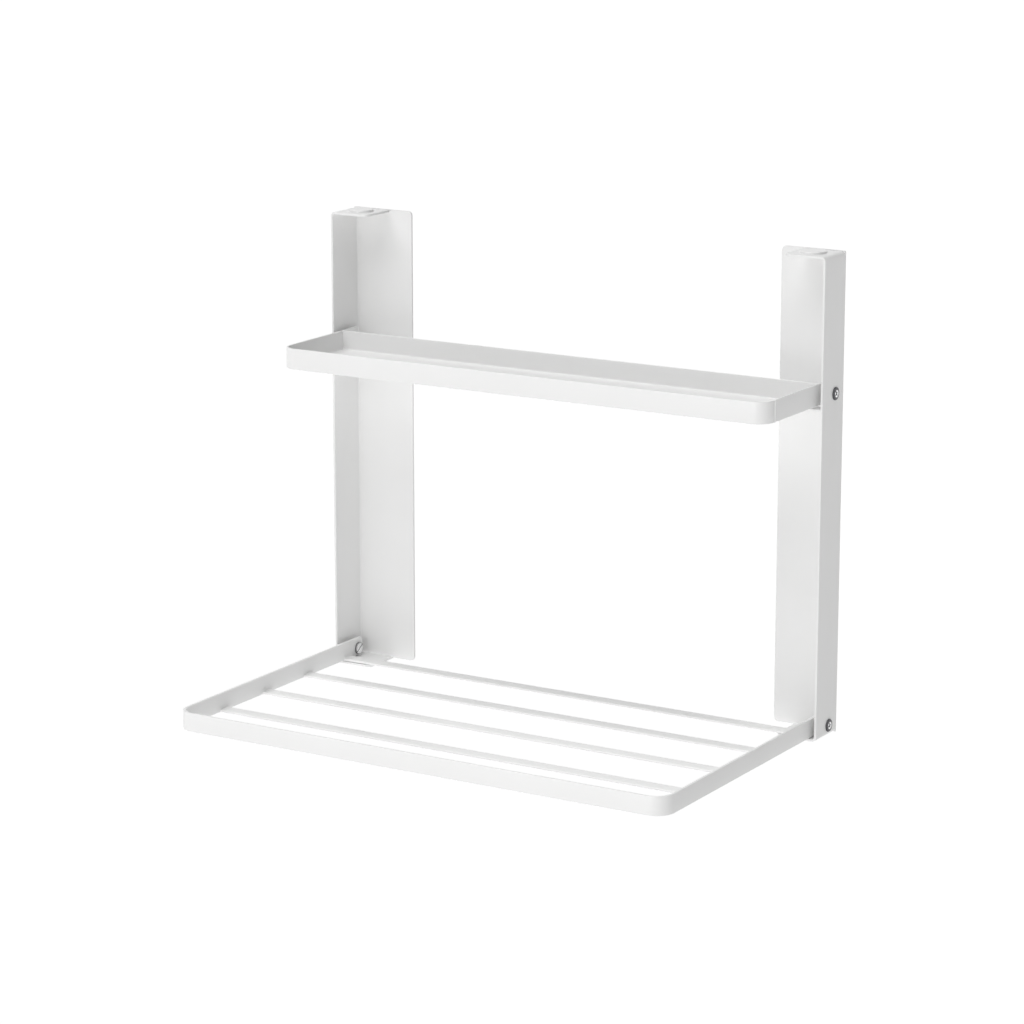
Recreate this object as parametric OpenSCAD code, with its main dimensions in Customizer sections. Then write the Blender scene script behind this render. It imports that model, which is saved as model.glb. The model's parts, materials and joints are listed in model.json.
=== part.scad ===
// Wall-held drying rack: two sheet-metal uprights carry a slatted rack below and a shallow tray above.
// Both shelves hang on two pivots each and fold up flat between the uprights.
// Millimetres. X runs along the wall, -Y points out from it, Z is up.
// The origin is on the wall plane, midway between the uprights, level with their lower ends.

/* [Overall] */
// Width over the outer faces of the two uprights
rack_w = 471; // [340:1:620]
// Height of each upright
upright_h = 400; // [300:1:520]
// Depth of an upright's side wall, from its front edge to the back of its plate
upright_d = 40; // [36:0.5:56]

/* [Uprights] */
// Thickness of the steel sheet
sheet_t = 2; // [1.2:0.1:3]
// Width of the back plate, from the outer face of the side wall
plate_w = 58; // [46:1:90]
// Outer radius of the sheet's bends
bend_r = 3.6; // [3.2:0.1:5]
// Radius of the back plate's free corners
plate_corner_r = 4; // [1:0.5:10]
// Width of the top and bottom tabs, from the outer face of the side wall
tab_w = 37; // [32:1:45]
// Radius of each tab's free front corner
tab_corner_r = 5; // [1:0.5:8]
// Gap between a tab's back edge and the start of the upright bend
bend_relief = 0.4; // [0.2:0.1:2]
// Thickness of the magnetic sheet behind each back plate
magnet_t = 1.2; // [0.8:0.1:3]
// Inset of the magnetic sheet from the back plate's outline
magnet_inset = 4; // [1:0.5:8]

/* [Drying rack] */
// Height of the rack's edge strip
strip_h = 16; // [12:0.5:22]
// Thickness of the rack's edge strip
strip_t = 3; // [2:0.5:4]
// Outer radius of the rack's front corners
rack_corner_r = 16; // [8:0.5:24]
// Height of the rack's pivot above the strip's lower edge
rack_pivot_up = 6.5; // [5.5:0.1:8]
// Distance from the wall to the middle of the rearmost bar
rear_bar_y = 35; // [30:0.5:60]
// Number of cross bars
bar_count = 4; // [4:1:4]
// Width of a cross bar
bar_w = 12.5; // [8:0.5:16]
// Thickness of a cross bar
bar_t = 2.2; // [1.5:0.1:4]

/* [Tray] */
// Distance from the wall to the tray's front face
tray_reach = 128.5; // [100:0.5:170]
// Height of the tray's rim
tray_h = 18; // [13:0.5:24]
// Thickness of the tray's rim
rim_t = 2; // [1.5:0.1:3]
// Thickness of the tray's floor
floor_t = 1.6; // [1:0.1:3]
// Outer radius of the tray's front corners
tray_corner_r = 14; // [6:0.5:24]
// Height of the tray's pivot above its lower edge
tray_pivot_up = 7.7; // [6.5:0.1:9]
// Distance from the wall to the front of the tray's back strip
tray_back_y = 36; // [33:0.5:60]

/* [Pivots] */
// Distance from the wall to the pivots' axis
pivot_y = 18.4; // [15:0.1:24]
// Gap between a side wall and the shelf beside it
side_gap = 4; // [1.2:0.1:5]
// Radius of the barrel that each shelf turns on
barrel_r = 3; // [2.4:0.1:4]
// Radial running clearance round the barrel
barrel_fit = 0.06; // [0.02:0.01:0.1]
// Radius of the screw's thread
thread_r = 1.8; // [1.2:0.1:2]
// Radius of the screw's and the barrel's heads
head_r = 5.4; // [4.8:0.1:7]
// Height of the screw's domed head
screw_head_h = 1.4; // [1.2:0.1:3]
// Height of the barrel's flat head
barrel_head_h = 1.6; // [1:0.1:2.5]
// Outer radius of the spacer washer
washer_r = 5.2; // [4.8:0.1:5.3]
// Clearance between faces that slide past each other
slide_gap = 0.12; // [0.05:0.01:0.3]

/* [Stops and catches] */
// Clearance between the level rack and the bottom tabs that it stops on
stop_gap = 0.4; // [0.2:0.1:1]
// Clearance between the level tray and its rests
tray_stop_gap = 1.8; // [0.2:0.1:3]
// Clearance over the front of a folded shelf
fold_gap = 1; // [0.6:0.1:4]
// Length of the tray rest along the wall
rest_w = 11; // [8:0.5:16]
// Depth of the tray rest, front to back
rest_d = 12; // [8:0.5:16]
// Radius of the catch cap's head
cap_r = 11; // [8:0.5:13]
// Height of the catch cap's head above the tab
cap_h = 1.8; // [1:0.1:4]
// Radius of the catch cap's neck, which fills the tab's hole
neck_r = 8; // [6:0.5:10]
// Wall round the catch magnet
cap_wall = 1.2; // [0.8:0.1:2]
// Distance from the side wall's outer face to the catch's axis
catch_x = 19.5; // [14:0.5:24]
// Distance from the wall to the catch's axis
catch_y = 23.5; // [18:0.5:28]

/* [Hidden] */
$fn = 64;
eps = 0.01;

// Planes counted outwards from the wall, which is Y = 0
plate_back = magnet_t;
plate_front = magnet_t + sheet_t;
upright_front = magnet_t + upright_d;
bend_start = plate_back + bend_r;
tab_back = bend_start + bend_relief;

// Half widths
outer_x = rack_w / 2;
inner_x = outer_x - sheet_t;
shelf_x = inner_x - side_gap;

// The tray folds up under the top tab, and the rack folds up under the tray
tray_fold_r = norm([tray_reach - pivot_y, tray_h - tray_pivot_up]);
tray_pivot_z = upright_h - sheet_t - fold_gap - tray_fold_r;
tray_z = tray_pivot_z - tray_pivot_up;
rack_z = sheet_t + stop_gap;
rack_pivot_z = rack_z + rack_pivot_up;
rack_fold_r = tray_z - fold_gap - rack_pivot_z;
rack_reach = pivot_y + sqrt(pow(rack_fold_r, 2) - pow(strip_h - rack_pivot_up, 2));
bar_pitch = (rack_reach - strip_t - rear_bar_y) / bar_count;
hole_r = barrel_r + barrel_fit;

powder_white = [0.93, 0.93, 0.92];
steel_grey = [0.62, 0.63, 0.65];
nylon_white = [0.88, 0.88, 0.86];
magnet_brown = [0.16, 0.14, 0.13];
nickel = [0.74, 0.73, 0.70];

// ---------- shared shapes ----------

// Turns an X-Z outline that is extruded into a slab from y0 to y1, counted outwards from the wall
module out_from_wall(y0, y1) {
    translate([0, -y0, 0]) rotate([90, 0, 0]) linear_extrude(y1 - y0) children();
}

// A cylinder along X, from x0 to x1, on a pivot's axis at height z
module on_pivot(z, x0, x1, r) {
    translate([x0, -pivot_y, z]) rotate([0, 90, 0]) cylinder(h = x1 - x0, r = r);
}

// The left-hand piece is the right-hand one mirrored in the middle plane
module left_hand() {
    mirror([1, 0, 0]) children();
}

// A rectangle from [x0, y0] to [x1, y1]
module span(x0, y0, x1, y1) {
    translate([x0, y0]) square([x1 - x0, y1 - y0]);
}

// What is cut off a square corner at the point [x, y] to round it; sx and sy point to the corner
module corner_cut(x, y, r, sx, sy) {
    difference() {
        translate([x - (sx > 0 ? r : 0), y - (sy > 0 ? r : 0)]) square(r);
        translate([x - sx * r, y - sy * r]) circle(r);
    }
}

// ---------- uprights ----------

// Back plate outline in X and Z, with its two free corners rounded
module plate_outline(inset) {
    x0 = outer_x - plate_w + inset;
    r = plate_corner_r;
    difference() {
        span(x0, inset, outer_x - max(bend_r, inset), upright_h - inset);
        corner_cut(x0, inset, r, -1, -1);
        corner_cut(x0, upright_h - inset, r, -1, 1);
    }
}

// Quarter bend between a side wall and the sheet that turns inwards from it
module bend_quarter() {
    intersection() {
        difference() {
            circle(bend_r);
            circle(bend_r - sheet_t);
        }
        square(bend_r);
    }
}

// Side wall with the top and bottom tabs, as an X-Z outline
module tab_channel() {
    span(inner_x, bend_r, outer_x, upright_h - bend_r);
    translate([outer_x - bend_r, upright_h - bend_r]) bend_quarter();
    translate([outer_x - bend_r, bend_r]) mirror([0, 1]) bend_quarter();
    span(outer_x - tab_w, upright_h - sheet_t, outer_x - bend_r, upright_h);
    span(outer_x - tab_w, 0, outer_x - bend_r, sheet_t);
}

module upright_sheet() {
    // back plate
    out_from_wall(plate_back, plate_front) plate_outline(0);
    // upright bend, and the side wall behind the tabs
    linear_extrude(upright_h) {
        translate([outer_x - bend_r, -bend_start]) bend_quarter();
        span(inner_x, -tab_back, outer_x, -bend_start);
    }
    // side wall and tabs
    out_from_wall(tab_back, upright_front) tab_channel();
}

module upright() {
    color(powder_white) difference() {
        upright_sheet();
        // free front corners of the two tabs
        translate([0, 0, -eps]) linear_extrude(upright_h + 2 * eps)
            corner_cut(outer_x - tab_w, -upright_front, tab_corner_r, -1, -1);
        // pivot holes
        on_pivot(rack_pivot_z, inner_x - 1, outer_x + 1, hole_r);
        on_pivot(tray_pivot_z, inner_x - 1, outer_x + 1, hole_r);
        // hole for the catch
        translate([outer_x - catch_x, -catch_y, upright_h - sheet_t - 1])
            cylinder(h = sheet_t + 2, r = neck_r);
    }
}

module magnet_sheet() {
    color(magnet_brown) out_from_wall(0, magnet_t) plate_outline(magnet_inset);
}

// Welded ledge that stops the tray when it is down
module tray_rest() {
    top_z = tray_z - tray_stop_gap;
    color(powder_white) translate([0, 0, top_z - sheet_t]) linear_extrude(sheet_t) difference() {
        span(inner_x - rest_w, -upright_front, inner_x, -upright_front + rest_d);
        corner_cut(inner_x - rest_w, -upright_front, rest_d / 4, -1, -1);
        corner_cut(inner_x - rest_w, -upright_front + rest_d, rest_d / 4, -1, 1);
    }
}

// ---------- catches in the top tabs ----------

module catch_cap() {
    color(powder_white) translate([outer_x - catch_x, -catch_y, upright_h - sheet_t])
        rotate_extrude() {
            // neck, which fills the hole in the tab round the magnet
            span(neck_r - cap_wall, 0, neck_r, sheet_t + eps);
            // head with a rounded edge
            span(0, sheet_t, cap_r - cap_h / 2, sheet_t + cap_h);
            span(0, sheet_t, cap_r, sheet_t + cap_h / 2);
            translate([cap_r - cap_h / 2, sheet_t + cap_h / 2]) intersection() {
                circle(cap_h / 2);
                square(cap_h / 2);
            }
        }
}

module catch_magnet() {
    color(nickel) translate([outer_x - catch_x, -catch_y, upright_h - sheet_t])
        cylinder(h = sheet_t, r = neck_r - cap_wall);
}

// ---------- shelves ----------

// U-shaped strip in plan: two arms back to the pivots and a front with rounded corners
module u_strip(reach, corner_r, t) {
    difference() {
        span(-shelf_x, -reach, shelf_x, -pivot_y);
        for (s = [-1, 1]) corner_cut(s * shelf_x, -reach, corner_r, s, -1);
        difference() {
            span(-shelf_x + t, -reach + t, shelf_x - t, -pivot_y + 1);
            for (s = [-1, 1]) corner_cut(s * (shelf_x - t), -reach + t, corner_r - t, s, -1);
        }
    }
}

// End of an arm behind its pivot: round about the pivot below, so it clears the stop as it turns
module arm_end(z, up, h, t) {
    top_z = z + h - up;
    translate([shelf_x - t, 0, 0]) rotate([90, 0, 90]) linear_extrude(t) difference() {
        span(-pivot_y, z, -pivot_y + up, top_z);
        corner_cut(-pivot_y + up, top_z, up / 2, 1, 1);
    }
    on_pivot(z, shelf_x - t, shelf_x, up);
}

module arm_ends(z, up, h, t) {
    arm_end(z, up, h, t);
    mirror([1, 0, 0]) arm_end(z, up, h, t);
}

module pivot_holes(z) {
    for (s = [-1, 1]) on_pivot(z, s * shelf_x - strip_t - 1, s * shelf_x + strip_t + 1, hole_r);
}

module rack_frame() {
    color(powder_white) difference() {
        union() {
            translate([0, 0, rack_z]) linear_extrude(strip_h) u_strip(rack_reach, rack_corner_r, strip_t);
            arm_ends(rack_pivot_z, rack_pivot_up, strip_h, strip_t);
        }
        pivot_holes(rack_pivot_z);
    }
}

// Flat bar with rounded long edges, welded between the arms; number 1 is nearest the front
module rack_bar(number) {
    y = rear_bar_y + (bar_count - number) * bar_pitch;
    edge_r = bar_t / 2;
    color(powder_white) translate([-shelf_x + strip_t, -y, rack_z + edge_r]) rotate([90, 0, 90])
        linear_extrude(2 * (shelf_x - strip_t)) {
            square([bar_w - bar_t, bar_t], center = true);
            for (s = [-1, 1]) translate([s * (bar_w / 2 - edge_r), 0]) circle(edge_r);
        }
}

module tray_band() {
    color(powder_white) difference() {
        union() {
            translate([0, 0, tray_z]) linear_extrude(tray_h) u_strip(tray_reach, tray_corner_r, rim_t);
            arm_ends(tray_pivot_z, tray_pivot_up, tray_h, rim_t);
        }
        pivot_holes(tray_pivot_z);
    }
}

// Floor sheet, welded in between the band and the back strip, flush with their lower edges
module tray_floor() {
    x = shelf_x - rim_t;
    y = tray_reach - rim_t;
    color(powder_white) translate([0, 0, tray_z]) linear_extrude(floor_t) difference() {
        span(-x, -y, x, -tray_back_y);
        for (s = [-1, 1]) corner_cut(s * x, -y, tray_corner_r - rim_t, s, -1);
    }
}

module tray_back_strip() {
    x = shelf_x - rim_t;
    color(powder_white) translate([0, 0, tray_z]) linear_extrude(tray_h)
        span(-x, -tray_back_y, x, -tray_back_y + rim_t);
}

// ---------- pivots ----------

// Slotted barrel: its head is inside the shelf's arm and its sleeve runs out through the side wall
module pivot_barrel(z, arm_t) {
    head_x = shelf_x - arm_t - slide_gap;
    end_x = outer_x - 0.4;
    slot_w = 1.2;
    slot_h = barrel_head_h / 2;
    color(steel_grey) difference() {
        union() {
            on_pivot(z, head_x - barrel_head_h, head_x, head_r);
            on_pivot(z, head_x - eps, end_x, barrel_r);
        }
        on_pivot(z, shelf_x - arm_t, end_x + 1, thread_r + barrel_fit);
        translate([head_x - barrel_head_h + slot_h / 2 - eps, -pivot_y, z]) rotate([35, 0, 0])
            cube([slot_h + 2 * eps, 3 * head_r, slot_w], center = true);
    }
}

// Cross-recessed screw with a domed head on the side wall's outer face
module pivot_screw(z, arm_t) {
    rim_h = screw_head_h * 0.3;
    dome_h = screw_head_h - rim_h;
    dome_r = (pow(head_r, 2) + pow(dome_h, 2)) / (2 * dome_h);
    recess_w = 1.3;
    recess_d = screw_head_h * 0.65;
    thread_len = outer_x - shelf_x + arm_t - 0.5;
    color(steel_grey) translate([outer_x, -pivot_y, z]) rotate([0, 90, 0]) difference() {
        rotate_extrude() {
            span(0, -thread_len, thread_r, rim_h);
            span(0, 0, head_r, rim_h);
            intersection() {
                translate([0, screw_head_h - dome_r]) circle(dome_r);
                span(0, rim_h, head_r, screw_head_h);
            }
        }
        for (a = [20, 110])
            translate([0, 0, screw_head_h - recess_d / 2 + eps]) rotate([0, 0, a])
                cube([head_r * 1.1, recess_w, recess_d + 2 * eps], center = true);
    }
}

// Nylon washer that keeps the arm off the side wall
module pivot_washer(z) {
    color(nylon_white) difference() {
        on_pivot(z, shelf_x + slide_gap, inner_x, washer_r);
        on_pivot(z, shelf_x, inner_x + 1, hole_r);
    }
}

left_hand() upright();  // left_upright
upright();  // right_upright
left_hand() magnet_sheet();  // left_magnet_sheet
magnet_sheet();  // right_magnet_sheet
left_hand() tray_rest();  // left_tray_rest
tray_rest();  // right_tray_rest
left_hand() catch_cap();  // left_catch_cap
catch_cap();  // right_catch_cap
left_hand() catch_magnet();  // left_catch_magnet
catch_magnet();  // right_catch_magnet
rack_frame();
rack_bar(1);  // rack_bar_1
rack_bar(2);  // rack_bar_2
rack_bar(3);  // rack_bar_3
rack_bar(4);  // rack_bar_4
tray_band();
tray_floor();
tray_back_strip();
left_hand() pivot_screw(rack_pivot_z, strip_t);  // left_rack_screw
pivot_screw(rack_pivot_z, strip_t);  // right_rack_screw
left_hand() pivot_barrel(rack_pivot_z, strip_t);  // left_rack_barrel
pivot_barrel(rack_pivot_z, strip_t);  // right_rack_barrel
left_hand() pivot_washer(rack_pivot_z);  // left_rack_washer
pivot_washer(rack_pivot_z);  // right_rack_washer
left_hand() pivot_screw(tray_pivot_z, rim_t);  // left_tray_screw
pivot_screw(tray_pivot_z, rim_t);  // right_tray_screw
left_hand() pivot_barrel(tray_pivot_z, rim_t);  // left_tray_barrel
pivot_barrel(tray_pivot_z, rim_t);  // right_tray_barrel
left_hand() pivot_washer(tray_pivot_z);  // left_tray_washer
pivot_washer(tray_pivot_z);  // right_tray_washer
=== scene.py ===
"""Studio model of a wall-held drying rack: a slatted rack and a shallow tray that fold up between uprights.

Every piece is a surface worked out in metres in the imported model's own frame: X runs along the wall, -Y
points out from it and Z is up. Pieces are worked out for the right-hand side and mirrored for the left.
"""
import json
import logging
import math
from dataclasses import dataclass
from enum import Enum
from typing import Callable, Union

import bmesh
import bpy
import numpy as np
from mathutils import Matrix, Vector


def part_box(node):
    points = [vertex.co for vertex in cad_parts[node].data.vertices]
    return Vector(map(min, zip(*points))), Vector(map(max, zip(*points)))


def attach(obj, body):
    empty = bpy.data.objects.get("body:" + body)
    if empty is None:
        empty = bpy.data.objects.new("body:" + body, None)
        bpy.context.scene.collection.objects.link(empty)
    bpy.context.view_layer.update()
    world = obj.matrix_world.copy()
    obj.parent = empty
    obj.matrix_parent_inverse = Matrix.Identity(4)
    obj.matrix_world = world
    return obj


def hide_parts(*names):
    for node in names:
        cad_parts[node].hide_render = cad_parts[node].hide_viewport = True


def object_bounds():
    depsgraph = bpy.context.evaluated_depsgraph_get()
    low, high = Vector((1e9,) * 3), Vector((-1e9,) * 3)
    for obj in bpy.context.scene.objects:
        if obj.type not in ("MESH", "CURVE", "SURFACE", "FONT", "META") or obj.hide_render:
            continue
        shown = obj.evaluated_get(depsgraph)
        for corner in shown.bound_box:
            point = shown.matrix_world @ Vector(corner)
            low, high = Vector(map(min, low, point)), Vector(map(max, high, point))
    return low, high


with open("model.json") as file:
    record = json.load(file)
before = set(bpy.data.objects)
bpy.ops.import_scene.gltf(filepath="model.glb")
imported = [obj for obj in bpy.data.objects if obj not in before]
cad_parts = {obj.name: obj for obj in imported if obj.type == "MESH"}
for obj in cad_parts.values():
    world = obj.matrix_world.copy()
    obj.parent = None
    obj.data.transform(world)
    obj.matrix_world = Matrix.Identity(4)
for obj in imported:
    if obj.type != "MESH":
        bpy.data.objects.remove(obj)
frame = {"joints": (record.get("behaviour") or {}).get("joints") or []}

CAD_BOX = [list(corner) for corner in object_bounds()]
MM = 0.001
# Radius of a turned piece's smallest ring, which a cap closes
CENTRE = 0.01 * MM
# Points that are nearer to each other than this are joined
SAME_PLACE = 1e-7

log = logging.getLogger("drying_rack")


# ---------------------------------------------------------------- shapes


class Side(Enum):
    """Which side of the middle plane a piece is on; the value is the sign of its X."""

    LEFT = -1.0
    RIGHT = 1.0

    @property
    def word(self) -> str:
        """The side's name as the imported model's nodes spell it."""
        return self.name.lower()


@dataclass
class Surface:
    """Points and faces of one piece, before it becomes a mesh.

    Args:
        points: Array of shape (n, 3).
        faces: Each face as a list of point numbers.
    """

    points: np.ndarray
    faces: list[list[int]]

    @classmethod
    def from_grid(cls, grid: np.ndarray, closed: bool = False, capped: bool = False) -> "Surface":
        """Joins the neighbours in a grid of points with four-sided faces.

        Args:
            grid: Array of shape (rows, columns, 3).
            closed: Whether the last column joins the first one.
            capped: Whether the first and last rows are closed with one face each.

        Returns:
            The surface.
        """
        rows, columns = grid.shape[:2]
        index = np.arange(rows * columns).reshape(rows, columns)
        across = np.roll(index, -1, axis=1) if closed else index[:, 1:]
        here = index if closed else index[:, :-1]
        quads = np.stack([here[:-1], across[:-1], across[1:], here[1:]], axis=-1).reshape(-1, 4)
        faces = quads.tolist()
        if capped:
            faces += [index[0].tolist(), index[-1][::-1].tolist()]
        return cls(grid.reshape(-1, 3), faces)

    def mirrored(self, side: Side) -> "Surface":
        """The surface on the asked side, built for the right-hand one."""
        return Surface(self.points * np.array([side.value, 1.0, 1.0]), self.faces)

    def to_object(self, name: str) -> bpy.types.Object:
        """Makes the mesh object, with its doubles merged and its faces turned outwards.

        Args:
            name: Name of the object and of its mesh.

        Returns:
            The object, at the origin and linked to the scene.
        """
        mesh = bpy.data.meshes.new(name)
        mesh.from_pydata(self.points.tolist(), [], self.faces)
        work = bmesh.new()
        work.from_mesh(mesh)
        bmesh.ops.remove_doubles(work, verts=work.verts, dist=SAME_PLACE)
        bmesh.ops.recalc_face_normals(work, faces=work.faces)
        work.to_mesh(mesh)
        work.free()
        made = bpy.data.objects.new(name, mesh)
        bpy.context.scene.collection.objects.link(made)
        return made


def arc_steps(radius: float, steps: int) -> np.ndarray:
    """Distances from a rounded corner's end at equal turns of its arc: radius times (1 - cos)."""
    return radius * (1 - np.cos(np.linspace(0, math.pi / 2, steps + 1)))


def arc_inset(distance: np.ndarray, radius: float) -> np.ndarray:
    """How far a rounded corner's outline lies inside the square one, at a distance from the corner's end."""
    inside = np.clip(radius - distance, 0, radius)
    return radius - np.sqrt(np.maximum(radius**2 - inside**2, 0))


@dataclass(frozen=True)
class RoundedLoop:
    """A rectangle's outline with rounded corners, as a loop of offsets that sizes are put into later.

    Args:
        steps: Faces in each corner's arc.
    """

    steps: int = 4

    def table(self) -> tuple[np.ndarray, np.ndarray, np.ndarray, np.ndarray]:
        """Where the loop's points lie.

        Returns:
            Signs of the corner that each point belongs to, and its direction from that corner's centre.
        """
        turn = np.linspace(0, math.pi / 2, self.steps + 1)
        angles = np.concatenate([turn + k * math.pi / 2 for k in range(4)])
        corner = np.repeat(np.array([[1, 1], [-1, 1], [-1, -1], [1, -1]]), self.steps + 1, axis=0)
        return corner[:, 0], corner[:, 1], np.cos(angles), np.sin(angles)

    def section(
        self, half: np.ndarray, low: np.ndarray, high: np.ndarray, edge: float
    ) -> tuple[np.ndarray, np.ndarray]:
        """Cross-sections of a bar, one a row.

        Args:
            half: Half the thickness at each row.
            low: Lower edge at each row.
            high: Upper edge at each row.
            edge: Radius of the edges.

        Returns:
            Offset across the bar and height, both of shape (rows, points in the loop).
        """
        side, up, cos, sin = self.table()
        radius = np.minimum(edge, np.minimum(half, (high - low) / 2) * 0.999)[:, None]
        across = side * (half[:, None] - radius) + radius * cos
        middle = np.where(up > 0, high[:, None] - radius, low[:, None] + radius)
        return across, middle + radius * sin


def carried(
    middle: np.ndarray,
    outward: np.ndarray,
    across: tuple[float, float, float],
    through: np.ndarray,
    spread: np.ndarray,
) -> Surface:
    """Carries a section along a path.

    Each point is the middle line, plus the outward direction times the section's first offset, plus the
    spread direction times its second.

    Args:
        middle: The path, of shape (rows, 3).
        outward: Unit direction of the first offset at each row.
        across: Unit direction of the second offset.
        through: First offsets, of shape (rows, points in the section).
        spread: Second offsets, of the same shape.

    Returns:
        The surface, closed round the section and capped at both ends.
    """
    grid = middle[:, None] + outward[:, None] * through[..., None] + np.array(across) * spread[..., None]
    return Surface.from_grid(grid, closed=True, capped=True)


def along_x(x: np.ndarray, y: np.ndarray, z: np.ndarray) -> Surface:
    """A bar along X, closed round its section and at both ends.

    Args:
        x: Place of each section.
        y: Y of the sections' points, of shape (sections, points).
        z: Their Z, of the same shape.

    Returns:
        The surface.
    """
    return Surface.from_grid(np.stack([x[:, None] + 0 * z, y, z], axis=-1), closed=True, capped=True)


def plan_outline(
    x: float, front: float, back: float, radius: float, inset: float, steps: int = 10
) -> np.ndarray:
    """Loop of plan points round a rectangle with rounded front corners and square back ones.

    Args:
        x: Half the width.
        front: Y of the front edge.
        back: Y of the back edge.
        radius: Radius of the front corners.
        inset: How far inside that outline the loop runs.
        steps: Faces in each corner's arc.

    Returns:
        Array of shape (points, 2), starting at the right-hand back corner.
    """
    least_radius, side_points = 0.2 * MM, 5
    r = max(radius - inset, least_radius)
    half, near, far = x - inset, front + inset, back - inset
    turn = np.linspace(0, math.pi / 2, steps + 1)
    corner = np.stack([half - r + r * np.cos(turn), near + r - r * np.sin(turn)], axis=1)
    sides = np.linspace(far, near + r, side_points + 1)[:-1]
    right = np.concatenate([np.stack([np.full(side_points, half), sides], axis=1), corner])
    return np.concatenate([right, right[::-1] * np.array([-1, 1])])


def lofted(rings: list[tuple[np.ndarray, float]]) -> Surface:
    """A closed surface through flat rings of the same number of points, each at its own height."""
    grid = np.stack([np.column_stack([ring, np.full(len(ring), height)]) for ring, height in rings])
    return Surface.from_grid(grid, closed=True, capped=True)


Relief = Callable[[np.ndarray, np.ndarray], np.ndarray]


def lathe(profile: np.ndarray, turns: int, relief: Relief | None = None) -> Surface:
    """Turns a profile about the X axis: a point at radius r and height h goes to (h, r cos a, r sin a).

    Args:
        profile: Array of (radius, height), in order along the outline from axis to axis. With a relief, a
            third number says whether the relief is cut there.
        turns: Faces round the axis.
        relief: Depth cut at offsets (y, z) from the axis, as a function of both.

    Returns:
        The closed surface.
    """
    angle = np.linspace(0, 2 * math.pi, turns, endpoint=False)
    radius, height = profile[:, 0, None], profile[:, 1, None]
    y, z = radius * np.cos(angle), radius * np.sin(angle)
    x = height * np.ones_like(y)
    if relief is not None:
        x = x - relief(y, z) * (profile[:, 2, None] > 0)
    return Surface.from_grid(np.stack([x, y, z], axis=-1), closed=True, capped=True)


def ring_lathe(profile: np.ndarray, turns: int) -> Surface:
    """Turns a closed profile that stays off the X axis into a ring."""
    loop = np.vstack([profile, profile[:1]])
    angle = np.linspace(0, 2 * math.pi, turns, endpoint=False)
    radius, height = loop[:, 0, None], loop[:, 1, None]
    grid = np.stack([height * np.ones((1, turns)), radius * np.cos(angle), radius * np.sin(angle)], axis=-1)
    return Surface.from_grid(grid, closed=True)


def placed(surface: Surface, at: tuple[float, float, float]) -> Surface:
    """The surface moved so that its own origin is at a point."""
    return Surface(surface.points + np.array(at), surface.faces)


def stood_up(surface: Surface) -> Surface:
    """A surface turned about X as its own height, so that its axis points along +Z."""
    return Surface(surface.points[:, [1, 2, 0]], surface.faces)


# ---------------------------------------------------------------- shader graphs


class Value:
    """A number that changes over a surface, with arithmetic that adds Math nodes.

    Args:
        graph: The graph that the number belongs to.
        socket: The node's output that gives it.
    """

    def __init__(self, graph: "Graph", socket: bpy.types.NodeSocket) -> None:
        self.graph = graph
        self.socket = socket

    def __add__(self, other: "Term") -> "Value":
        """Sum."""
        return self.graph.maths("ADD", self, other)

    def __radd__(self, other: "Term") -> "Value":
        """Sum, with the number first."""
        return self.graph.maths("ADD", other, self)

    def __sub__(self, other: "Term") -> "Value":
        """Difference."""
        return self.graph.maths("SUBTRACT", self, other)

    def __rsub__(self, other: "Term") -> "Value":
        """Difference, with the number first."""
        return self.graph.maths("SUBTRACT", other, self)

    def __mul__(self, other: "Term") -> "Value":
        """Product."""
        return self.graph.maths("MULTIPLY", self, other)

    def __rmul__(self, other: "Term") -> "Value":
        """Product, with the number first."""
        return self.graph.maths("MULTIPLY", other, self)

    def __pow__(self, other: "Term") -> "Value":
        """Power."""
        return self.graph.maths("POWER", self, other)


Term = Union[Value, float, int]
Colour = tuple[float, float, float]


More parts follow.
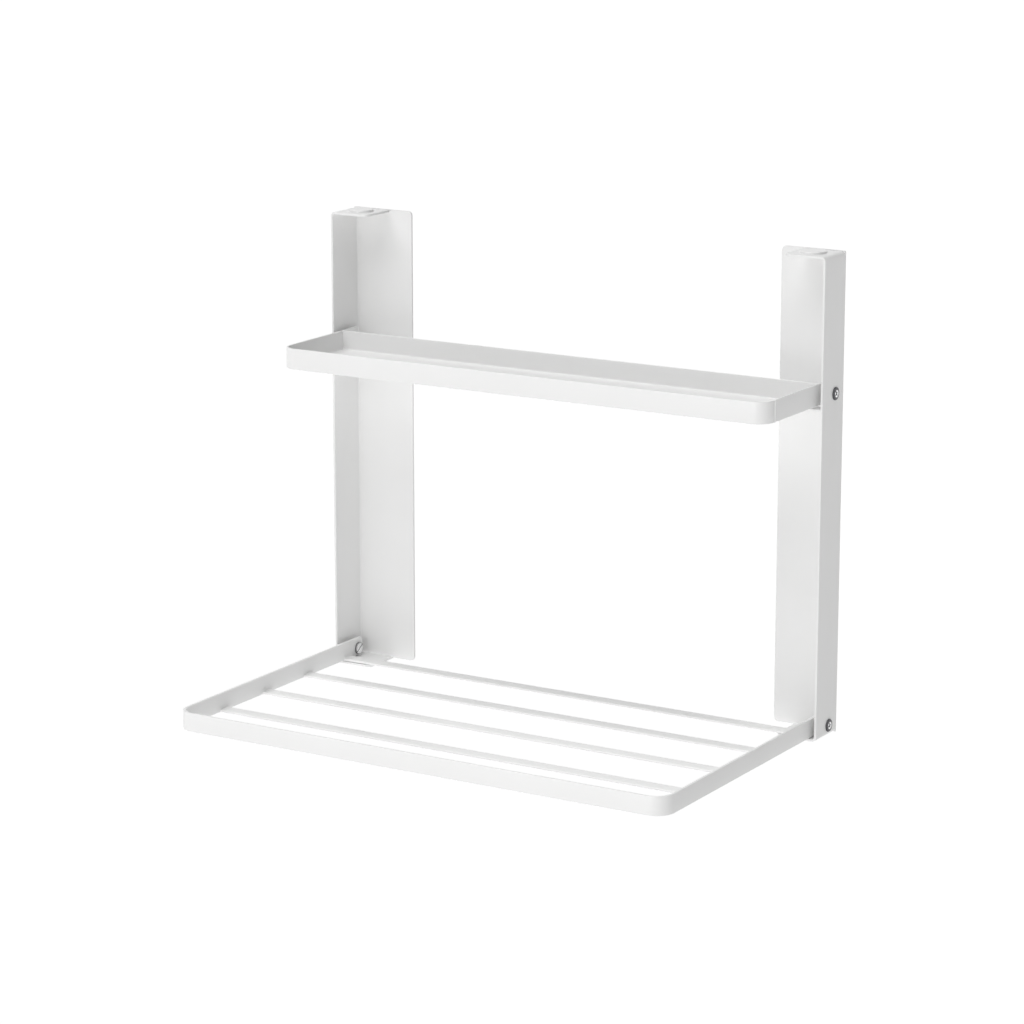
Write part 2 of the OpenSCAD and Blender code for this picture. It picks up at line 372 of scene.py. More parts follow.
class Graph:
    """The node tree of one material, built around its Principled shader.

    Args:
        name: The material's name.
    """

    def __init__(self, name: str) -> None:
        self.material = bpy.data.materials.new(name)
        self.material.use_nodes = True
        self.tree = self.material.node_tree
        self.shader = self.tree.nodes["Principled BSDF"]
        self.place = self.node("ShaderNodeTexCoord", {}, {}, "Object")

    def node(self, kind: str, settings: dict, inputs: dict, output: Union[str, int] = 0) -> Value:
        """Adds one node.

        Args:
            kind: The node's type.
            settings: Properties set before the sockets, where "stops" fills a colour ramp with (place, grey).
            inputs: Values or links by the socket's name or number.
            output: Name or number of the output that is wanted.

        Returns:
            That output.
        """
        made = self.tree.nodes.new(kind)
        for key, value in settings.items():
            if key == "stops":
                self._fill_ramp(made.color_ramp, value)
            else:
                setattr(made, key, value)
        for key, value in inputs.items():
            self._feed(made.inputs[key], value)
        return Value(self, made.outputs[output])

    def _feed(self, socket: bpy.types.NodeSocket, value: object) -> None:
        """Links a socket to a value of the graph, or sets it to a number or colour."""
        if isinstance(value, Value):
            self.tree.links.new(value.socket, socket)
        elif isinstance(value, tuple) and len(value) == 3 and socket.type == "RGBA":
            socket.default_value = (*value, 1.0)
        else:
            socket.default_value = value

    @staticmethod
    def _fill_ramp(ramp: bpy.types.ColorRamp, stops: list[tuple[float, float]]) -> None:
        """Sets a colour ramp's stops, each a place and a grey."""
        while len(ramp.elements) > 1:
            ramp.elements.remove(ramp.elements[-1])
        for number, (place, grey) in enumerate(stops):
            element = ramp.elements[0] if number == 0 else ramp.elements.new(place)
            element.position = place
            element.color = (grey, grey, grey, 1.0)

    def set(self, **sockets: object) -> None:
        """Sets or links the shader's sockets; an underscore in a name stands for a space."""
        for name, value in sockets.items():
            self._feed(self.shader.inputs[name.replace("_", " ")], value)

    def noise(self, size: float, detail: float = 2.0, roughness: float = 0.5) -> Value:
        """Cloudy noise from 0 to 1, whose lumps are about size metres wide."""
        return self.node(
            "ShaderNodeTexNoise",
            {"noise_dimensions": "3D"},
            {"Vector": self.place, "Scale": 1 / size, "Detail": detail, "Roughness": roughness},
            "Fac",
        )

    def ramp(self, value: Value, stops: list[tuple[float, float]]) -> Value:
        """A number passed through a grey ramp."""
        return self.node("ShaderNodeValToRGB", {"stops": stops}, {"Fac": value}, "Color")

    def mix(self, factor: Term, first: object, second: object) -> Value:
        """A colour between two colours."""
        return self.node("ShaderNodeMix", {"data_type": "RGBA"}, {0: factor, 6: first, 7: second}, 2)

    def maths(self, operation: str, *terms: Term) -> Value:
        """One Math node on one or two terms."""
        return self.node("ShaderNodeMath", {"operation": operation}, dict(enumerate(terms)))

    def sine(self, distance: Value, length: float) -> Value:
        """A wave from -1 to 1 of a given length along a distance."""
        return self.maths("SINE", distance * (2 * math.pi / length))

    def parts(self) -> tuple[Value, Value, Value]:
        """The X, Y and Z of the place on the surface, in metres."""
        split = self.node("ShaderNodeSeparateXYZ", {}, {"Vector": self.place})
        outputs = split.socket.node.outputs
        return tuple(Value(self, outputs[axis]) for axis in "XYZ")

    def bump(self, height: Value, depth: float, strength: float = 1.0) -> None:
        """Feeds the shader's normal from a height of 0 to 1 that stands for a depth in metres."""
        inputs = {"Height": height, "Distance": depth, "Strength": strength}
        self.set(Normal=self.node("ShaderNodeBump", {}, inputs, "Normal"))


@dataclass(frozen=True)
class PowderCoat:
    """Semi-gloss white powder coat: an orange-peel skin, faint clouding, and a few fine specks.

    Args:
        name: The material's name.
        white: Colour of the coat.
        shade: Colour where the coat is thin.
        gloss: Roughness of the skin.
        cloud: Width of the faint clouds.
        peel: Width of the orange peel's lumps.
        grit: Width of the finest grain.
        speck: Width of the patches that the specks lie in.
        relief: Depth of the skin.
    """

    name: str = "powder_coat"
    white: Colour = (0.89, 0.89, 0.887)
    shade: Colour = (0.85, 0.85, 0.843)
    gloss: float = 0.34
    cloud: float = 70 * MM
    peel: float = 1.6 * MM
    grit: float = 0.35 * MM
    speck: float = 2.2 * MM
    relief: float = 0.02 * MM

    def build(self) -> bpy.types.Material:
        """Makes the material."""
        graph = Graph(self.name)
        cloud = graph.noise(self.cloud, detail=3.0)
        peel = graph.noise(self.peel, detail=1.0, roughness=0.4)
        grit = graph.noise(self.grit)
        patches = graph.noise(self.speck, detail=4.0, roughness=0.7)
        specks = graph.ramp(patches, [(0.0, 0.0), (0.70, 0.0), (0.76, 1.0)])
        tint = graph.mix(graph.ramp(cloud, [(0.35, 0.0), (0.75, 0.45)]), self.white, self.shade)
        graph.set(
            Base_Color=graph.mix(specks * 0.18, tint, self.shade),
            Roughness=self.gloss + cloud * 0.05 + grit * 0.03,
            Coat_Weight=0.12,
            Coat_Roughness=0.16,
            IOR=1.5,
        )
        graph.bump(peel * 0.8 + grit * 0.2, self.relief, 0.5)
        return graph.material


@dataclass(frozen=True)
class PlatedSteel:
    """Bright plated steel, turned on a lathe.

    Fine rings run round the pivot's axis. The rims carry a painted dark reflection and shade, and the recesses
    carry painted shade.

    Args:
        name: The material's name.
        axis_y: Y of the pivot's axis.
        axis_z: Z of the pivot's axis.
        head_radius: Radius of the heads.
        crown_x: Distance of the screw head's crown from the middle plane.
        face_x: Distance of the barrel head's face from the middle plane.
        rubbed: Share of the radius inside which the screw's head stays bright; outside it a painted dark
            reflection and shade darken the rim.
        barrel_rubbed: The same share for the barrel's flat head.
        barrel_rim: How strongly the painted dark reflection and shade darken the barrel's rim, next to the
            screw's.
        screw_reach: How far in from its crown a screw is taken to reach.
        bright: Colour of the plating where no painted shade lies.
        scuffed: Their colour where they are scuffed.
        dark: Colour of the painted dark reflection and shade on the rims and of the painted shade in the
            recesses.
        ring: Distance between the lathe's rings.
        scuff: Width of the scuffs.
        relief: Depth of the rings and scuffs.
    """

    name: str
    axis_y: float
    axis_z: float
    head_radius: float
    crown_x: float
    face_x: float
    # Painted dark reflection and shade: how much of each head stays bright, and how dark the barrel's rim is
    # painted
    rubbed: float = 0.53
    barrel_rubbed: float = 0.84
    barrel_rim: float = 0.62
    screw_reach: float = 3 * MM
    bright: Colour = (0.90, 0.90, 0.905)
    scuffed: Colour = (0.74, 0.74, 0.75)
    dark: Colour = (0.085, 0.085, 0.09)
    ring: float = 0.22 * MM
    scuff: float = 0.5 * MM
    relief: float = 0.012 * MM

    def build(self) -> bpy.types.Material:
        """Makes the material."""
        graph = Graph(self.name)
        x, y, z = graph.parts()
        across, up = y - self.axis_y, z - self.axis_z
        radius = (across * across + up * up) ** 0.5
        out = graph.maths("ABSOLUTE", x)
        rings = graph.sine(radius, self.ring)
        scuffs = graph.noise(self.scuff, detail=4.0, roughness=0.65)
        screw_side = graph.maths("GREATER_THAN", out, self.crown_x - self.screw_reach)
        rubbed = screw_side * (self.rubbed - self.barrel_rubbed) + self.barrel_rubbed
        # Painted dark reflection and shade on the rims: the head stays bright near the middle and is painted
        # dark towards the rim
        share = radius * (1 / self.head_radius) + scuffs * 0.06 - rubbed
        rim_weight = screw_side * (1 - self.barrel_rim) + self.barrel_rim
        rim = graph.ramp(share, [(0.0, 0.0), (0.1, 1.0)]) * rim_weight
        # Painted shade down in the recesses: the deeper below the screw's crown or the barrel's face, the
        # darker
        sunk = screw_side * (self.crown_x - out) + (1 - screw_side) * (out - self.face_x)
        pit = graph.ramp(sunk * (1 / MM) + scuffs * 0.1, [(0.0, 0.0), (0.42, 0.0), (0.62, 1.0)])
        # Where the painted dark reflection and shade lie, on the rims and in the recesses
        shade_mask = graph.maths("MAXIMUM", rim, pit * 0.85)
        graph.set(
            Base_Color=graph.mix(shade_mask, graph.mix(scuffs * 0.5, self.bright, self.scuffed), self.dark),
            Metallic=1.0,
            Roughness=0.2 + scuffs * 0.16,
        )
        graph.bump(rings * 0.3 + scuffs * 0.7, self.relief, 0.5)
        return graph.material


@dataclass(frozen=True)
class Nylon:
    """Satin natural nylon, with a moulded skin.

    Args:
        name: The material's name.
        tone: Colour of the plastic.
        shade: Its colour in the hollows of the skin.
        skin: Width of the skin's lumps.
        relief: Depth of the skin.
    """

    name: str = "nylon"
    tone: Colour = (0.78, 0.77, 0.74)
    shade: Colour = (0.68, 0.67, 0.63)
    skin: float = 0.6 * MM
    relief: float = 0.02 * MM

    def build(self) -> bpy.types.Material:
        """Makes the material."""
        graph = Graph(self.name)
        skin = graph.noise(self.skin, detail=3.0)
        graph.set(
            Base_Color=graph.mix(skin * 0.3, self.tone, self.shade),
            Roughness=0.42 + skin * 0.12,
            Subsurface_Weight=0.15,
            Subsurface_Scale=1.5 * MM,
        )
        graph.bump(skin, self.relief, 0.4)
        return graph.material


@dataclass(frozen=True)
class FerriteRubber:
    """Matt dark magnetic sheet, with a rolled grain and a dusting of pale specks.

    Args:
        name: The material's name.
        tone: Colour of the sheet.
        dust: Colour of the specks.
        grain: Width of the grain.
        cloud: Width of the faint clouds.
        roll: Distance between the roller's marks.
        relief: Depth of the grain.
    """

    name: str = "magnet_sheet"
    tone: Colour = (0.035, 0.031, 0.029)
    dust: Colour = (0.11, 0.10, 0.095)
    grain: float = 0.9 * MM
    cloud: float = 30 * MM
    roll: float = 2.4 * MM
    relief: float = 0.05 * MM

    def build(self) -> bpy.types.Material:
        """Makes the material."""
        graph = Graph(self.name)
        grain = graph.noise(self.grain, detail=5.0, roughness=0.7)
        clouds = graph.noise(self.cloud, detail=3.0)
        _, _, z = graph.parts()
        rolled = graph.maths("SINE", z * (2 * math.pi / self.roll) + clouds * 3.0)
        dust = graph.ramp(grain, [(0.0, 0.0), (0.62, 0.0), (0.8, 1.0)])
        graph.set(
            Base_Color=graph.mix(dust * 0.35 + clouds * 0.15, self.tone, self.dust),
            Roughness=0.62 + grain * 0.2,
        )
        graph.bump(grain * 0.7 + rolled * 0.3, self.relief, 0.6)
        return graph.material


@dataclass(frozen=True)
class Nickel:
    """Nickel-plated magnet face, with light handling scuffs.

    Args:
        name: The material's name.
        tone: Colour of the plating.
        scuffed: Its colour where it is scuffed.
        scuff: Width of the scuffs.
        relief: Depth of the scuffs.
    """

    name: str = "nickel_magnet"
    tone: Colour = (0.71, 0.69, 0.65)
    scuffed: Colour = (0.5, 0.48, 0.45)
    scuff: float = 1.1 * MM
    relief: float = 0.01 * MM

    def build(self) -> bpy.types.Material:
        """Makes the material."""
        graph = Graph(self.name)
        scuffs = graph.noise(self.scuff, detail=5.0, roughness=0.7)
        graph.set(
            Base_Color=graph.mix(scuffs * 0.4, self.tone, self.scuffed),
            Metallic=1.0,
            Roughness=0.14 + scuffs * 0.2,
        )
        graph.bump(scuffs, self.relief, 0.4)
        return graph.material


@dataclass(frozen=True)
class PaleFloor:
    """Plain pale floor of the studio, lit a little from below.

    Args:
        name: The material's name.
        pale: Colour of the floor.
        shade: Its colour in the faint clouds.
        cloud: Width of the clouds.
        glow: Strength of the light from below.
    """

    name: str = "pale_floor"
    pale: Colour = (0.9, 0.9, 0.9)
    shade: Colour = (0.88, 0.88, 0.88)
    cloud: float = 400 * MM
    glow: float = 0.37

    def build(self) -> bpy.types.Material:
        """Makes the material."""
        graph = Graph(self.name)
        clouds = graph.noise(self.cloud)
        graph.set(
            Base_Color=graph.mix(clouds * 0.2, self.pale, self.shade),
            Roughness=0.9 + clouds * 0.05,
            Emission_Color=(1.0, 1.0, 1.0),
            Emission_Strength=self.glow,
        )
        return graph.material


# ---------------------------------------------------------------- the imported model's sizes


def joint_axis(name: str) -> tuple[float, float]:
    """Y and Z of a hinge's axis."""
    joint = next(j for j in frame["joints"] if j["name"] == name)
    return joint["pos_m"][1], joint["pos_m"][2]


@dataclass
class Plan:
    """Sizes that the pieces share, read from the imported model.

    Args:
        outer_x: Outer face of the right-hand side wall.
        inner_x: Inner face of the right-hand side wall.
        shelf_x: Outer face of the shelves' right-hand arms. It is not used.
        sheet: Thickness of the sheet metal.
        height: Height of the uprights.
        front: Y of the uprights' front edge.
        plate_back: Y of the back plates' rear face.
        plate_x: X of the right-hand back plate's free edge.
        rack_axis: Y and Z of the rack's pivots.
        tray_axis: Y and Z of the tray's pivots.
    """

    outer_x: float
    inner_x: float
    shelf_x: float
    sheet: float
    height: float
    front: float
    plate_back: float
    plate_x: float
    rack_axis: tuple[float, float]
    tray_axis: tuple[float, float]

    @classmethod
    def from_frame(cls) -> "Plan":
        """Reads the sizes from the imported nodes' boxes and the joints."""
        low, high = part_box("right_upright")
        rest_low, rest_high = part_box("right_tray_rest")
        _, frame_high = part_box("rack_frame")
        return cls(
            outer_x=high.x,
            inner_x=rest_high.x,
            shelf_x=frame_high.x,
            sheet=rest_high.z - rest_low.z,
            height=high.z,
            front=low.y,
            plate_back=high.y,
            plate_x=low.x,
            rack_axis=joint_axis("rack_fold"),
            tray_axis=joint_axis("tray_fold"),
        )


@dataclass
class Workshop:
    """Puts finished pieces into the scene: their finish, body, slot and the node that each stands for.

    Args:
        finishes: The materials, by slot name or by their own.
        made: How many pieces there are so far.
        crease: Turn between faces above which their edge is sharp, in degrees.
    """

    finishes: dict[str, bpy.types.Material]
    made: int = 0
    crease: float = 38.0

    def dress(
        self, piece: bpy.types.Object, node: str, body: str, slot: str, finish: str | None = None
    ) -> None:
        """Gives a piece its material and says where it belongs.

        Args:
            piece: The finished object.
            node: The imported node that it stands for.
            body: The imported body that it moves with.
            slot: The record's material slot.
            finish: Key of the material, if it isn't the slot's own.
        """
        piece.data.materials.clear()
        piece.data.materials.append(self.finishes[finish or slot])
        piece.data.shade_smooth()
        piece.data.set_sharp_from_angle(angle=math.radians(self.crease))
        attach(piece, body)
        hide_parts(node)
        self.made += 1
        log.info("%-28s %6d faces, rides on %s", piece.name, len(piece.data.polygons), body)


def bake_modifiers(piece: bpy.types.Object) -> None:
    """Applies a piece's modifiers to its mesh."""
    depsgraph = bpy.context.evaluated_depsgraph_get()
    finished = bpy.data.meshes.new_from_object(piece.evaluated_get(depsgraph))
    piece.modifiers.clear()
    piece.data = finished


def combine(piece: bpy.types.Object, others: list[Surface], operation: str) -> None:
    """Joins closed surfaces to a piece, or cuts them out of it.

    Args:
        piece: The object to change.
        others: The closed surfaces.
        operation: UNION or DIFFERENCE.
    """
    tools = [other.to_object("tool") for other in others]
    for tool in tools:
        step = piece.modifiers.new("combine", "BOOLEAN")
        step.operation = operation
        step.solver = "EXACT"
        step.object = tool
    bake_modifiers(piece)
    for tool in tools:
        bpy.data.objects.remove(tool)


def rod(radius: float, low: float, high: float, turns: int = 64) -> Surface:
    """A plain round rod along X."""
    return lathe(np.array([[radius, low], [radius, high]]), turns)


# ---------------------------------------------------------------- uprights


@dataclass
class Upright:
    """One sheet-metal upright: a side wall, a back plate and two tabs, folded from one blank.

    It is two sections carried along paths and joined. The channel's path runs along the bottom tab, up the
    side wall and back along the top tab. The angle's runs from the side wall round the upright bend and
    across the back plate.

    Args:
        plan: Sizes that the pieces share.
        bend: Outer radius of the bends.
        tab_width: Width of the tabs from the side wall's outer face.
        tab_corner: Radius of each tab's free front corner.
        plate_corner: Radius of the back plate's free corners.
        relief: Gap between a tab's back edge and the start of the upright bend.
        lap: How far the side wall's halves run into each other before they are joined.
        edge: Radius of the coated edges.
        catch_gap: Clearance round a catch's neck.
        bend_steps: Faces in each bend.
        corner_steps: Rows in each rounded corner.
        flat_steps: Rows in each half of a tab or of the wall.
        plate_steps: Rows across the back plate's flat part.
    """

    plan: Plan
    bend: float = 3.6 * MM
    tab_width: float = 37 * MM
    tab_corner: float = 5 * MM
    plate_corner: float = 4 * MM
    relief: float = 0.4 * MM
    lap: float = 0.7 * MM
    edge: float = 0.42 * MM
    catch_gap: float = 0.02 * MM
    bend_steps: int = 10
    corner_steps: int = 22
    flat_steps: int = 8
    plate_steps: int = 11

    def channel(self) -> Surface:
        """Tabs and side wall: the sheet's thickness is in the path's plane, and its depth runs along Y."""
        plan, bend, inset = self.plan, self.bend, self.plan.sheet / 2
        free, start = plan.outer_x - self.tab_width, plan.outer_x - bend
        corner = arc_steps(self.tab_corner, self.corner_steps)
        tab = free + np.concatenate(
            [corner, np.linspace(self.tab_corner, start - free, self.flat_steps + 1)[1:]]
        )
        turn = np.linspace(0, math.pi / 2, self.bend_steps + 1)[1:]
        wall = np.linspace(bend, plan.height / 2, self.flat_steps + 1)[1:]
        still, flat = np.zeros(len(tab)), np.ones(len(wall))
        x = np.concatenate([tab, start + (bend - inset) * np.sin(turn), flat * (plan.outer_x - inset)])
        z = np.concatenate([still + inset, bend - (bend - inset) * np.cos(turn), wall])
        out_x = np.concatenate([still, np.sin(turn), flat])
        out_z = np.concatenate([still - 1, -np.cos(turn), 0 * flat])
        lap = self.lap * np.concatenate([still, np.sin(turn) ** 6, flat])
        end = np.concatenate([tab - free, np.full(len(turn) + len(wall), self.tab_width)])
        x, out_x, lap, end = (np.concatenate([half, half[-2::-1]]) for half in (x, out_x, lap, end))
        z = np.concatenate([z, plan.height - z[-2::-1]])
        out_z = np.concatenate([out_z, -out_z[-2::-1]])
        front = plan.front + arc_inset(end, self.tab_corner)
        back = plan.plate_back - bend - self.relief + lap
        level = np.zeros(len(x))
        middle, outward = np.stack([x, level, z], axis=1), np.stack([out_x, level, out_z], axis=1)
        return self.folded(middle, outward, (0, 1, 0), front, back, end)

    def angle(self) -> Surface:
        """Back of the side wall, upright bend and back plate: the section's height runs along Z."""
        plan, bend, inset = self.plan, self.bend, self.plan.sheet / 2
        start_x, start_y = plan.outer_x - bend, plan.plate_back - bend
        turn = np.linspace(0, math.pi / 2, self.bend_steps + 1)
        corner = arc_steps(self.plate_corner, self.corner_steps)
        across = np.linspace(start_x, plan.plate_x + self.plate_corner, self.plate_steps + 1)[1:]
        plate = np.concatenate([across, plan.plate_x + corner[-2::-1]])
        flat = np.ones(len(plate))
        radius = bend - inset
        x = np.concatenate([[plan.outer_x - inset], start_x + radius * np.cos(turn), plate])
        y = np.concatenate(
            [[start_y - self.relief], start_y + radius * np.sin(turn), flat * (plan.plate_back - inset)]
        )
        out_x = np.concatenate([[1.0], np.cos(turn), 0 * flat])
        out_y = np.concatenate([[0.0], np.sin(turn), flat])
        end = np.concatenate([np.full(len(turn) + 1, plan.outer_x), plate - plan.plate_x])
        low = arc_inset(end, self.plate_corner)
        level = np.zeros(len(x))
        middle, outward = np.stack([x, y, level], axis=1), np.stack([out_x, out_y, level], axis=1)
        return self.folded(middle, outward, (0, 0, 1), low, plan.height - low, end)

    def folded(
        self,
        middle: np.ndarray,
        outward: np.ndarray,
        across: tuple[float, float, float],
        low: np.ndarray,
        high: np.ndarray,
        end: np.ndarray,
    ) -> Surface:
        """The sheet's section carried along a path, drawn in over the last rows to round the free edge.

        Args:
            middle: The sheet's middle line.
            outward: Direction of its outer face along that line.
            across: Direction that the sheet spreads in, at right angles to the path.
            low: Where the sheet starts in that direction.
            high: Where it ends.
            end: Distance from the sheet's free edge, along the path.

        Returns:
            The closed surface.
        """
        draw_in = arc_inset(end, self.edge)
        half = np.full(len(end), self.plan.sheet / 2) - draw_in
        through, spread = RoundedLoop().section(half, low + draw_in * 0.5, high - draw_in * 0.5, self.edge)
        return carried(middle, outward, across, through, spread)

    def build(self, side: Side, catch: "Catch", hole: float) -> bpy.types.Object:
        """Joins the two parts of the blank and bores them.

        Args:
            side: Left or right.
            catch: The catch that the top tab holds.
            hole: Radius of the pivot holes.

        Returns:
            The upright.
        """
        plan = self.plan
        piece = self.channel().mirrored(side).to_object(f"{side.word}_upright_sheet")
        span = 2 * plan.sheet
        bores = [
            placed(rod(hole, plan.inner_x - span, plan.outer_x + span), (0, y, z))
            for y, z in (plan.rack_axis, plan.tray_axis)
        ]
        x, y, _ = catch.place()
        neck = rod(catch.neck + self.catch_gap, plan.height - span, plan.height + span)
        bores.append(placed(stood_up(neck), (x, y, 0)))
        combine(piece, [self.angle().mirrored(side)], "UNION")
        combine(piece, [bore.mirrored(side) for bore in bores], "DIFFERENCE")
        return piece


# ---------------------------------------------------------------- shelves


@dataclass
class EdgeStrip:
    """A flat strip bent into a U in plan, standing on its edge, with its ends rounded about the pivots.

    The surface is the strip's rounded section carried along the U. Behind a pivot the section's lower edge
    follows a circle about the pivot and its upper edge a smaller corner, and the last rows draw in to round
    the end face.

    Args:
        name: Name of the piece.
        node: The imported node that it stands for.
        axis: Y and Z of the pivots.
        corner: Outer radius of the front corners.
        thickness: Thickness of the strip.
        hole: Radius of the pivot holes.
        seam: Height of the weld line after the right-hand front corner, or 0 for none.
        seam_width: Half the width of that line.
        seam_from_corner: Its distance from the corner's end.
        edge: Radius of the coated edges.
        front_steps: Rows in half the front.
        corner_steps: Faces in each front corner.
        seam_steps: Rows in the stretch round the weld line.
        arm_steps: Rows in the rest of the arm, up to the pivot.
        end_steps: Rows in the rounded end.
    """

    name: str
    node: str
    axis: tuple[float, float]
    corner: float
    thickness: float
    hole: float
    seam: float = 0.0
    seam_width: float = 0.65 * MM
    seam_from_corner: float = 1.6 * MM
    edge: float = 0.8 * MM
    front_steps: int = 14
    corner_steps: int = 24
    seam_steps: int = 25
    arm_steps: int = 14
    end_steps: int = 33

    def path(self, half: float, front: float, back: float) -> tuple[np.ndarray, np.ndarray]:
        """Middle line of the right half of the strip, from the middle of the front round to the arm's end.

        Args:
            half: Outer face of the arm.
            front: Y of the front face.
            back: Y of the arm's end.

        Returns:
            Points and outward directions, both of shape (n, 2).
        """
        inset = self.thickness / 2
        turn_x, turn_y, radius = half - self.corner, front + self.corner, self.corner - inset
        turn = np.linspace(0, math.pi / 2, self.corner_steps + 1)
        end_zone = (back - self.axis[0]) * 1.5
        straight_x = np.linspace(0, turn_x, self.front_steps, endpoint=False)
        reach = self.seam_from_corner - 0.1 * MM
        seam_zone = turn_y + self.seam_from_corner + np.linspace(-reach, reach, self.seam_steps)
        arm = np.linspace(turn_y + 2.5 * self.seam_from_corner, back - end_zone, self.arm_steps)
        tip = back - end_zone * np.cos(np.linspace(0, math.pi / 2, self.end_steps + 1))
        arm_y = np.concatenate([seam_zone, arm, tip[1:]])
        x = np.concatenate([straight_x, turn_x + radius * np.sin(turn), np.full(len(arm_y), half - inset)])
        y = np.concatenate([0 * straight_x + front + inset, turn_y - radius * np.cos(turn), arm_y])
        out_x = np.concatenate([0 * straight_x, np.sin(turn), np.ones(len(arm_y))])
        out_y = np.concatenate([0 * straight_x - 1, -np.cos(turn), 0 * arm_y])
        return np.stack([x, y], axis=1), np.stack([out_x, out_y], axis=1)

    def surface(self) -> Surface:
        """The whole strip, left arm to right arm."""
        low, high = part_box(self.node)
        points, outward = self.path(high.x, low.y, high.y)
        flip = np.array([-1.0, 1.0])
        points = np.concatenate([points[:0:-1] * flip, points])
        outward = np.concatenate([outward[:0:-1] * flip, outward])
        pivot_y, pivot_z = self.axis
        y = points[:, 1]
        reach = high.y - pivot_y
        behind = np.clip(y - pivot_y, 0, reach)
        bottom = np.where(y > pivot_y, pivot_z - np.sqrt(np.maximum(reach**2 - behind**2, 0)), low.z)
        top = high.z - arc_inset(high.y - y, reach / 2)
        draw_in = arc_inset(high.y - y, self.edge)
        half = np.full(len(y), self.thickness / 2) - draw_in
        across, z = RoundedLoop().section(half, bottom + draw_in * 0.5, top - draw_in * 0.5, self.edge)
        seam_y = low.y + self.corner + self.seam_from_corner
        bead = self.seam * np.exp(-(((y - seam_y) / self.seam_width) ** 2)) * (points[:, 0] > 0)
        across = across + bead[:, None] * (across > 0)
        level = np.zeros((len(y), 1))
        return carried(np.hstack([points, level]), np.hstack([outward, level]), (0, 0, 1), across, z)

    def build(self) -> bpy.types.Object:
        """Makes the strip and bores its pivot holes."""
        piece = self.surface().to_object(self.name)
        _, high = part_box(self.node)
        span = 3 * self.thickness
        bore = placed(rod(self.hole, high.x - span, high.x + span), (0, *self.axis))
        combine(piece, [bore.mirrored(side) for side in Side], "DIFFERENCE")
        return piece


@dataclass
class CrossBar:
    """A flat bar with round long edges, and a small fillet of weld where each end meets the frame.

    Args:
        node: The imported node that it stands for.
        weld: Radius of the fillet.
        weld_steps: Rows in the fillet.
        length_steps: Rows along the bar.
    """

    node: str
    weld: float = 0.9 * MM
    weld_steps: int = 6
    length_steps: int = 40

    def build(self) -> bpy.types.Object:
        """Carries the bar's section along X, drawn wider over the last stretch at each end."""
        low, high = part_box(self.node)
        thick = high.z - low.z
        steps = arc_steps(self.weld, self.weld_steps)
        length = np.linspace(low.x + self.weld, high.x - self.weld, self.length_steps)[1:-1]
        x = np.concatenate([low.x + steps, length, (high.x - steps)[::-1]])
        flare = arc_inset(np.minimum(x - low.x, high.x - x), self.weld)
        half = (high.y - low.y) / 2 + flare
        across, z = RoundedLoop(6).section(half, low.z + 0 * x, high.z + flare, thick / 2)
        return along_x(x, (low.y + high.y) / 2 + across, z).to_object(self.node + "_flat")


@dataclass
class TrayFloor:
    """The tray's floor sheet, with a small fillet up the inside of the rim.

    Args:
        corner: Radius of the floor's front corners.
        fillet: Radius of the fillet.
        edge: Rounding of the lower edge.
        insets: Where the rings that hold the flat faces flat lie, in from the outline.
    """

    corner: float
    fillet: float = 1.5 * MM
    edge: float = 0.4 * MM
    insets: tuple[float, float] = (25 * MM, 6 * MM)

    def build(self) -> bpy.types.Object:
        """Lofts rings from under the floor round its edge, up to the fillet's lip and down to the middle."""
        low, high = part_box("tray_floor")
        strip_low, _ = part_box("tray_back_strip")
        edge, fillet = self.edge, self.fillet

        def loop(inset: float, back: float) -> np.ndarray:
            """Plan outline of one ring."""
            return plan_outline(high.x, low.y, back, self.corner, inset)

        turn = np.linspace(0, math.pi / 2, 5)
        rings = [(loop(inset, high.y), low.z) for inset in self.insets]
        rings += [(loop(edge * (1 - math.sin(a)), high.y), low.z + edge * (1 - math.cos(a))) for a in turn]
        rings += [(loop(0, back), high.z) for back in (high.y, strip_low.y)]
        slope = np.linspace(0, math.pi / 2, 9)
        rings += [
            (loop(fillet * (1 - math.cos(a)), strip_low.y), high.z + fillet * (1 - math.sin(a))) for a in slope
        ]
        rings += [(loop(inset, strip_low.y), high.z) for inset in reversed(self.insets)]
        return lofted(rings).to_object("tray_floor_sheet")


@dataclass
class BackStrip:
    """The tray's back strip, along the floor's back edge between the arms.

    Args:
        edge: Radius of its long edges.
        length_steps: Rows along the strip.
    """

    edge: float = 0.55 * MM
    length_steps: int = 30

    def build(self) -> bpy.types.Object:
        """Carries the strip's rounded section along X."""
        low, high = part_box("tray_back_strip")
        x = np.linspace(low.x, high.x, self.length_steps)
        half, bottom, top = (np.full(len(x), size) for size in ((high.y - low.y) / 2, low.z, high.z))
        across, z = RoundedLoop().section(half, bottom, top, self.edge)
        return along_x(x, (low.y + high.y) / 2 + across, z).to_object("tray_back_strip_sheet")


# ---------------------------------------------------------------- small pieces


